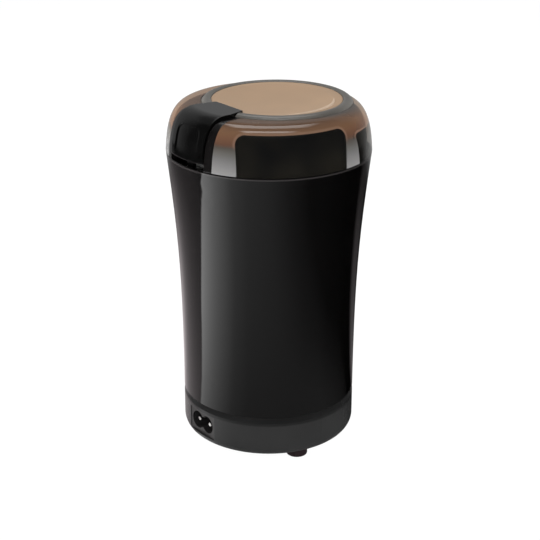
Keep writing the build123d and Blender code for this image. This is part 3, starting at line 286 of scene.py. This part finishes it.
MATERIALS = {name: principled(name, **look) for name, look in {
    "casing_black": dict(color=(0.0010, 0.0009, 0.0009), rough=0.07, scale=25.0, bump=0.008, worn=RIM_HIGHLIGHT),
    "base_black": dict(color=(0.018, 0.018, 0.018), rough=0.28, scale=40.0, bump=0.05, soft=0.0004,
                       worn=BAND_PAINTED_SHADE, **SATIN),
    "skirt_black": dict(color=(0.006, 0.006, 0.006), rough=0.35),
    "lever_black": dict(color=(0.0014, 0.0014, 0.0014), rough=0.16, soft=0.0006),
    "housing_brown": dict(color=(0.0042, 0.0036, 0.0036), rough=0.2, bump=0.0, soft=0.0006),
    "ring_grey": dict(color=(0.088, 0.083, 0.074), rough=0.35),
    "dish_tan": dict(color=(0.37, 0.246, 0.152), rough=0.42, vary=0.04, bump=0.05, **SATIN),
    # Paler tan for the lip of the dish's hollow: a painted highlight
    "dish_lip_highlight": dict(color=(0.52, 0.39, 0.28), rough=0.35, vary=0.04, bump=0.05, **SATIN),
    "socket_black": dict(color=(0.015, 0.014, 0.014), rough=0.4, bump=0.05),
    "rubber_dark": dict(color=(0.016, 0.008, 0.010), rough=0.6, bump=0.15),
    "bowl_steel": dict(color=(0.70, 0.69, 0.68), rough=0.28, metal=0.75, vary=0.02, scale=30.0, bump=0.04),
    "blade_steel": dict(color=(0.60, 0.60, 0.60), rough=0.22, metal=1.0, scale=150.0),
    "screw_zinc": dict(color=(0.50, 0.50, 0.52), rough=0.35, metal=1.0),
    "spring_steel": dict(color=(0.45, 0.45, 0.47), metal=1.0),
    "core_steel": dict(color=(0.16, 0.16, 0.17), rough=0.5, metal=1.0, scale=400.0),
    "bracket_zinc": dict(color=(0.55, 0.55, 0.56), rough=0.45, metal=1.0),
    "copper": dict(color=(0.55, 0.20, 0.09), rough=0.4, metal=1.0, scale=500.0, bump=0.4),
    "brass": dict(color=(0.62, 0.47, 0.22), metal=1.0),
    "nickel": dict(color=(0.75, 0.74, 0.72), rough=0.18, metal=1.0),
    "carbon": dict(color=(0.02, 0.02, 0.02), rough=0.6, bump=0.1),
    "nylon": dict(color=(0.70, 0.69, 0.65), rough=0.45),
    "board_green": dict(color=(0.03, 0.14, 0.06), rough=0.4),
    "capacitor_yellow": dict(color=(0.60, 0.42, 0.06), rough=0.35),
}.items()}
MATERIALS["lid_plastic"] = lid_plastic("lid_plastic")

WEARS = {
    "casing_black": ["body_casing"],
    "base_black": ["base_shell"],
    "lid_plastic": ["lid_shell"],
    "skirt_black": ["lid_liner", "switch_plunger"],
    "lever_black": ["press_lever"],
    "housing_brown": ["lever_housing"],
    "ring_grey": ["lid_ring"],
    "dish_tan": ["lid_dish"],
    "socket_black": ["inlet_socket", "microswitch", "brush_holder_left", "brush_holder_right"],
    "rubber_dark": ["rubber_foot_1", "rubber_foot_2", "rubber_foot_3", "rubber_mounts", "bowl_gasket",
                    "shaft_seal"],
    "bowl_steel": ["grinding_bowl"],
    "blade_steel": ["grinding_blade", "blade_nut", "blade_hub", "rotor_shaft", "lever_hinge_pin"],
    "screw_zinc": ["base_screws", "mount_screws", "stator_screws", "bracket_screws", "upper_bearing",
                   "lower_bearing"],
    "spring_steel": ["plunger_spring", "brush_springs"],
    "core_steel": ["stator_core", "armature_core"],
    "bracket_zinc": ["motor_top_bracket", "motor_bottom_bracket", "switch_bracket"],
    "copper": ["field_coils", "armature_windings"],
    "brass": ["commutator"],
    "nickel": ["inlet_pins"],
    "carbon": ["carbon_brush_left", "carbon_brush_right"],
    "nylon": ["shaft_bush", "cooling_fan", "switch_button"],
    "board_green": ["filter_board"],
    "capacitor_yellow": ["filter_capacitor"],
}
for material, names in WEARS.items():
    for name in names:
        nodes[name].data.materials.clear()
        nodes[name].data.materials.append(MATERIALS[material])


def link(name, data):
    """New object in the scene for a mesh, a lamp or a camera."""
    obj = bpy.data.objects.new(name, data)
    bpy.context.scene.collection.objects.link(obj)
    return obj


# ---------- rolled lip of the dish's hollow ----------

HOLLOW_RADIUS = 0.0286
HOLLOW_OFFSET = 0.0024          # the hollow's centre lies this far to the back
DISH_TOP = 0.1717
LIP_ARC = (56.0, 146.0)         # where the lip starts and ends, from the lever's direction
LIP_WIDE, LIP_HIGH = 0.0011, 0.0003
LIP_ROUNDS, LIP_SIDES = 90, 12


def hollow_lip(name):
    """Slim crescent along the hollow's edge, widest half way round it."""
    verts, faces = [], []
    for k in range(LIP_ROUNDS + 1):
        angle = math.radians(LIP_ARC[0] + (LIP_ARC[1] - LIP_ARC[0]) * k / LIP_ROUNDS)
        swell = math.sin(math.pi * k / LIP_ROUNDS) ** 0.8
        for j in range(LIP_SIDES):
            bend = 2 * math.pi * j / LIP_SIDES
            radius = HOLLOW_RADIUS + LIP_WIDE * swell * math.cos(bend)
            verts.append((radius * math.sin(angle), HOLLOW_OFFSET - radius * math.cos(angle),
                          DISH_TOP + LIP_HIGH * swell * math.sin(bend)))
    for k in range(LIP_ROUNDS):
        for j in range(LIP_SIDES):
            a, b = k * LIP_SIDES + j, k * LIP_SIDES + (j + 1) % LIP_SIDES
            faces.append((a, b, b + LIP_SIDES, a + LIP_SIDES))
    faces.append(tuple(range(LIP_SIDES)))
    faces.append(tuple(LIP_ROUNDS * LIP_SIDES + j for j in reversed(range(LIP_SIDES))))
    mesh = bpy.data.meshes.new(name)
    mesh.from_pydata(verts, [], faces)
    # The lip's paler tan is a painted highlight
    mesh.materials.append(MATERIALS["dish_lip_highlight"])
    for poly in mesh.polygons:
        poly.use_smooth = True
    obj = link(name, mesh)
    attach(obj, "lid")


hollow_lip("dish_lip")


# ---------- studio: cards that only reflections show ----------

AZIMUTH = 52.0                  # the camera's direction from the lever side
TURN = math.radians(AZIMUTH)
RIGHT = Vector((math.cos(TURN), math.sin(TURN), 0))
AWAY = Vector((-math.sin(TURN), math.cos(TURN), 0))

GROUND_GLOW = 2.4
GROUND_REACH = 2.0
GROUND_RISE = 0.0005
# The ground card's two panels and its floor, tone by direction: 0 is towards the camera, + to the right
FRONT_TONES = ((-180, 0.0), (-90, 1.0), (-65, 0.57), (-40, 0.22), (-24, 0.15), (0, 0.11), (22, 0.05),
               (45, 0.012), (110, 0.0))
REAR_TONES = ((-180, 0.05), (-142, 0.20), (-122, 0.13), (-105, 0.11), (-88, 0.095), (-60, 0.0), (121, 0.0),
              (130, 0.04), (142, 0.03), (150, 0.006), (180, 0.006))
FLOOR_TONES = ((-145, 0.22), (-125, 0.0), (120, 0.0), (135, 0.22))
FRONT_END = ((60, 1.0), (108, 0.0))     # the front panel fades out over these directions
# Growth of each panel's light over the distance: slope and start
FRONT_GAIN = (3.5, 0.40)
REAR_GAIN = (-5.5, 2.6)
# Right of TAIL_START the front panel's tones are drawn out near the object, by a share of the distance
TAIL_START = -20
TAIL_SLOPE, TAIL_SHIFT, TAIL_LEAST = 4.4, -0.184, 0.25
# Edge between the panels, with X to the camera's right and Y away from it: it slopes near the object, bends
# towards the camera beyond EDGE_TURN on the left, and turns away from it past EDGE_END on the right
EDGE_TURN = 0.19
EDGE_OFFSET = 0.019
EDGE_SLOPE = 0.108
EDGE_BEND = 5.0
EDGE_END = 0.02
EDGE_END_SLOPE = 0.9
EDGE_BLUR = 0.0015
FADE = (0.36, 0.50)             # distance over which the panels give way to the floor


def spot(right, away, up):
    """Point given to the right of, away from and above the camera's line over the origin."""
    return RIGHT * right + AWAY * away + Vector((0, 0, up))


def rosy(level):
    """Grey with a touch of red."""
    return (level, level * 0.91, level * 0.93)


def reflected_card(name, verts, faces, uvs, material):
    """Card that shows in reflections alone."""
    mesh = bpy.data.meshes.new(name)
    mesh.from_pydata(verts, [], faces)
    layer = mesh.uv_layers.new(name="arc")
    for loop in mesh.loops:
        layer.data[loop.index].uv = uvs[loop.vertex_index]
    mesh.materials.append(material)
    obj = link(name, mesh)
    obj.visible_camera = False
    obj.visible_diffuse = False
    obj.visible_transmission = False
    obj.visible_shadow = False
    return obj


def glow(name, stops):
    """Emission that runs along a card: (place 0 to 1, strength) stops."""
    mat, tree = new_material(name)
    uv = node(tree, "ShaderNodeUVMap", uv_map="arc")
    split = node(tree, "ShaderNodeSeparateXYZ", Vector=uv.outputs["UV"])
    peak = max(strength for _, strength in stops)
    tone = steps(tree, split.outputs["X"], [(place, strength / peak) for place, strength in stops])
    emit = node(tree, "ShaderNodeEmission", Color=tone, Strength=peak)
    node(tree, "ShaderNodeOutputMaterial", Surface=emit.outputs["Emission"])
    return mat


def panel_edge(tree, x, y):
    """0 in front of the edge between the panels and 1 beyond; it shows as an upright line on the casing."""
    left = maths(tree, "ADD", x, EDGE_TURN)
    slope = maths(tree, "SUBTRACT", maths(tree, "MULTIPLY", maths(tree, "MAXIMUM", left, 0.0), EDGE_SLOPE),
                  maths(tree, "MULTIPLY", maths(tree, "MAXIMUM", x, EDGE_END), EDGE_END_SLOPE))
    far = maths(tree, "MINIMUM", left, 0.0)
    bend = maths(tree, "MULTIPLY", maths(tree, "MULTIPLY", far, far), EDGE_BEND)
    beyond = maths(tree, "ADD", maths(tree, "ADD", y, EDGE_OFFSET), maths(tree, "ADD", slope, bend))
    return remap(tree, beyond, -EDGE_BLUR, EDGE_BLUR)


def ground_glow(name):
    """What the upright walls mirror: a soft panel on the left with one sharp edge, dark elsewhere."""
    mat, tree = new_material(name)
    x, y, _ = object_point(tree)
    reach = length(tree, x, y)
    swing = maths(tree, "ARCTAN2", x, maths(tree, "MULTIPLY", y, -1.0))
    place = remap(tree, swing, -math.pi, math.pi)

    def at(degrees):
        """Direction as a share of the full turn, as place is."""
        return (degrees + 180.0) / 360.0

    def tones(where, table, tint=float):
        return steps(tree, where, [(at(degrees), tint(level)) for degrees, level in table])

    def gained(color, gain, share):
        """Colour that grows or fades with the distance."""
        level = maths(tree, "MAXIMUM", maths(tree, "MULTIPLY_ADD", reach, *gain), 0.0)
        return scaled(tree, color, maths(tree, "MULTIPLY", level, share))

    tail = maths(tree, "MAXIMUM", maths(tree, "SUBTRACT", place, at(TAIL_START)), 0.0)
    narrow = maths(tree, "MINIMUM", maths(tree, "MULTIPLY_ADD", reach, TAIL_SLOPE, TAIL_SHIFT), 1.0)
    stretch = maths(tree, "SUBTRACT", 1.0, maths(tree, "MAXIMUM", narrow, TAIL_LEAST))
    front_place = maths(tree, "SUBTRACT", place, maths(tree, "MULTIPLY", tail, stretch))
    front = gained(tones(front_place, FRONT_TONES), FRONT_GAIN, tones(place, FRONT_END))
    rear = gained(tones(place, REAR_TONES, rosy), REAR_GAIN, 1.0)
    panels = mixed(tree, panel_edge(tree, x, y), front, rear)
    # Further out only the pale floor behind the object shows
    light = mixed(tree, remap(tree, reach, *FADE, smooth=True), panels, tones(place, FLOOR_TONES))
    emit = node(tree, "ShaderNodeEmission", Color=light, Strength=GROUND_GLOW)
    node(tree, "ShaderNodeOutputMaterial", Surface=emit.outputs["Emission"])
    return mat


# A level card's corners, in X and Y and in its UV map
SQUARE = ((-1, -1), (1, -1), (1, 1), (-1, 1))
CORNERS = ((0, 0), (1, 0), (1, 1), (0, 1))

ground = reflected_card("ground_card", [(x * GROUND_REACH, y * GROUND_REACH, 0) for x, y in SQUARE],
                        [(0, 1, 2, 3)], CORNERS, ground_glow("ground_glow"))
ground.location = (0, 0, GROUND_RISE)
ground.rotation_euler = (0, 0, TURN)

# Dim surround above the ground card, paler behind the object: radius, start and end, glow along the arc
SURROUND_PARTS = 24
SURROUND = {
    "surround_left": (0.90, -100, -24, [(0.0, 0.03), (0.5, 0.05), (1.0, 0.04)]),
    "surround_front": (0.95, -24, 60, [(0.0, 0.04), (0.4, 0.03), (1.0, 0.03)]),
    "surround_right": (0.95, 60, 150, [(0.0, 0.03), (0.6, 0.05), (0.8, 0.35), (1.0, 0.35)]),
    "surround_back": (0.95, 150, 260, [(0.0, 0.40), (0.5, 0.35), (0.8, 0.30), (1.0, 0.08)]),
}
for name, (radius, start, end, stops) in SURROUND.items():
    verts, uvs = [], []
    for k in range(SURROUND_PARTS + 1):
        angle = math.radians(start + (end - start) * k / SURROUND_PARTS)
        for height in (0, 1):
            verts.append(spot(radius * math.sin(angle), -radius * math.cos(angle), height)[:])
            uvs.append((k / SURROUND_PARTS, height))
    faces = [(2 * k, 2 * k + 2, 2 * k + 3, 2 * k + 1) for k in range(SURROUND_PARTS)]
    reflected_card(name, verts, faces, uvs, glow(name + "_glow", stops))

# Dim ceiling, and under it two long thin strips that show as the streaks on the lid's shoulder:
# middle as spot() takes it, width, depth, glow along the width
OVERHEAD = {
    "ceiling": ((0.0, 0.0, 1.02), 2.4, 2.4, [(0.0, 0.16), (1.0, 0.16)]),
    "strip_far": ((0.02, 0.38, 1.0), 0.70, 0.44, [(0.0, 0.3), (0.12, 4.4), (0.8, 3.6), (1.0, 0.3)]),
    "strip_near": ((0.0, -0.24, 1.0), 0.74, 0.17, [(0.0, 0.2), (0.12, 6.6), (0.75, 6.0), (1.0, 0.3)]),
}
for name, ((right, away, up), wide, deep, stops) in OVERHEAD.items():
    verts = [spot(right + x * wide / 2, away + y * deep / 2, up)[:] for x, y in SQUARE]
    reflected_card(name, verts, [(0, 1, 2, 3)], CORNERS, glow(name + "_glow", stops))


# ---------- studio: lamps, world and floor ----------

LAMP_AIM = Vector((0, 0, 0.15))
# Square soft lamps that no reflection shows: place as spot() takes it, watts, side
LAMPS = {
    "overhead_fill": ((-0.05, 0.45, 1.0), 1.2, 0.5),
    "back_fill": ((-0.45, 0.75, 0.50), 7.0, 0.4),
    "front_fill": ((-0.50, -0.80, 0.30), 7.0, 0.5),
    "right_fill": ((0.85, -0.40, 0.30), 6.0, 0.4),
    "left_fill": ((-0.85, 0.25, 0.20), 12.0, 0.4),
    "far_right_fill": ((0.66, 0.55, 0.22), 11.0, 0.4),
}
for name, (place, watts, side) in LAMPS.items():
    data = bpy.data.lights.new(name, "AREA")
    data.shape = "RECTANGLE"
    data.energy, data.size, data.size_y = watts, side, side
    lamp = link(name, data)
    lamp.location = spot(*place)
    lamp.rotation_euler = (LAMP_AIM - lamp.location).to_track_quat("-Z", "Y").to_euler()
    lamp.visible_glossy = False

# White surround for the camera, reflections and see-through rays, softer for the light it casts
AMBIENT = 0.35
world = bpy.data.worlds.new("studio")
bpy.context.scene.world = world
world.use_nodes = True
tree = world.node_tree
tree.nodes.clear()
rays = node(tree, "ShaderNodeLightPath").outputs
seen = maths(tree, "MAXIMUM", rays["Is Camera Ray"],
             maths(tree, "MAXIMUM", rays["Is Glossy Ray"], rays["Is Transmission Ray"]))
sky = node(tree, "ShaderNodeBackground", Color=(1, 1, 1, 1), Strength=remap(tree, seen, low=AMBIENT, high=1.0))
node(tree, "ShaderNodeOutputWorld", Surface=sky.outputs["Background"])

# Pale floor that shows the camera a faint shadow on white
FLOOR_REACH = 3.0
FLOOR_WHITE = 0.95              # share of plain white in what the camera sees
floor_mat, tree = new_material("floor_white")
lit = node(tree, "ShaderNodeBsdfDiffuse", Color=(0.9, 0.9, 0.9, 1))
plain = node(tree, "ShaderNodeEmission", Color=(1, 1, 1, 1), Strength=1.03)
white = maths(tree, "MULTIPLY", node(tree, "ShaderNodeLightPath").outputs["Is Camera Ray"], FLOOR_WHITE)
node(tree, "ShaderNodeOutputMaterial",
     Surface=mixed_shader(tree, white, lit.outputs["BSDF"], plain.outputs["Emission"]))
floor_mesh = bpy.data.meshes.new("floor")
floor_mesh.from_pydata([(x * FLOOR_REACH, y * FLOOR_REACH, 0) for x, y in SQUARE], [], [(0, 1, 2, 3)])
floor_mesh.materials.append(floor_mat)
link("floor", floor_mesh)


# ---------- camera ----------

PICTURE = 540.0                 # the photograph's width and height, in pixels
SENSOR = 36.0                   # millimetres
FOCAL = 1424.0                  # pixels
SHIFT = 1.3                     # pixels
PITCH, ROLL = 0.3793, 0.0022    # radians
camera_data = bpy.data.cameras.new("camera")
camera_data.sensor_width = SENSOR
camera_data.lens = SENSOR * FOCAL / PICTURE
camera_data.shift_x = SHIFT / PICTURE
camera_data.clip_start = 0.01
camera = link("camera", camera_data)
camera.location = spot(0, -0.650, RIM + 0.1963)
camera.rotation_euler = (Euler((math.pi / 2 - PITCH, 0, TURN)).to_matrix()
                         @ Euler((0, 0, ROLL)).to_matrix()).to_euler()
bpy.context.scene.camera = camera

bpy.context.scene.view_settings.view_transform = "Standard"
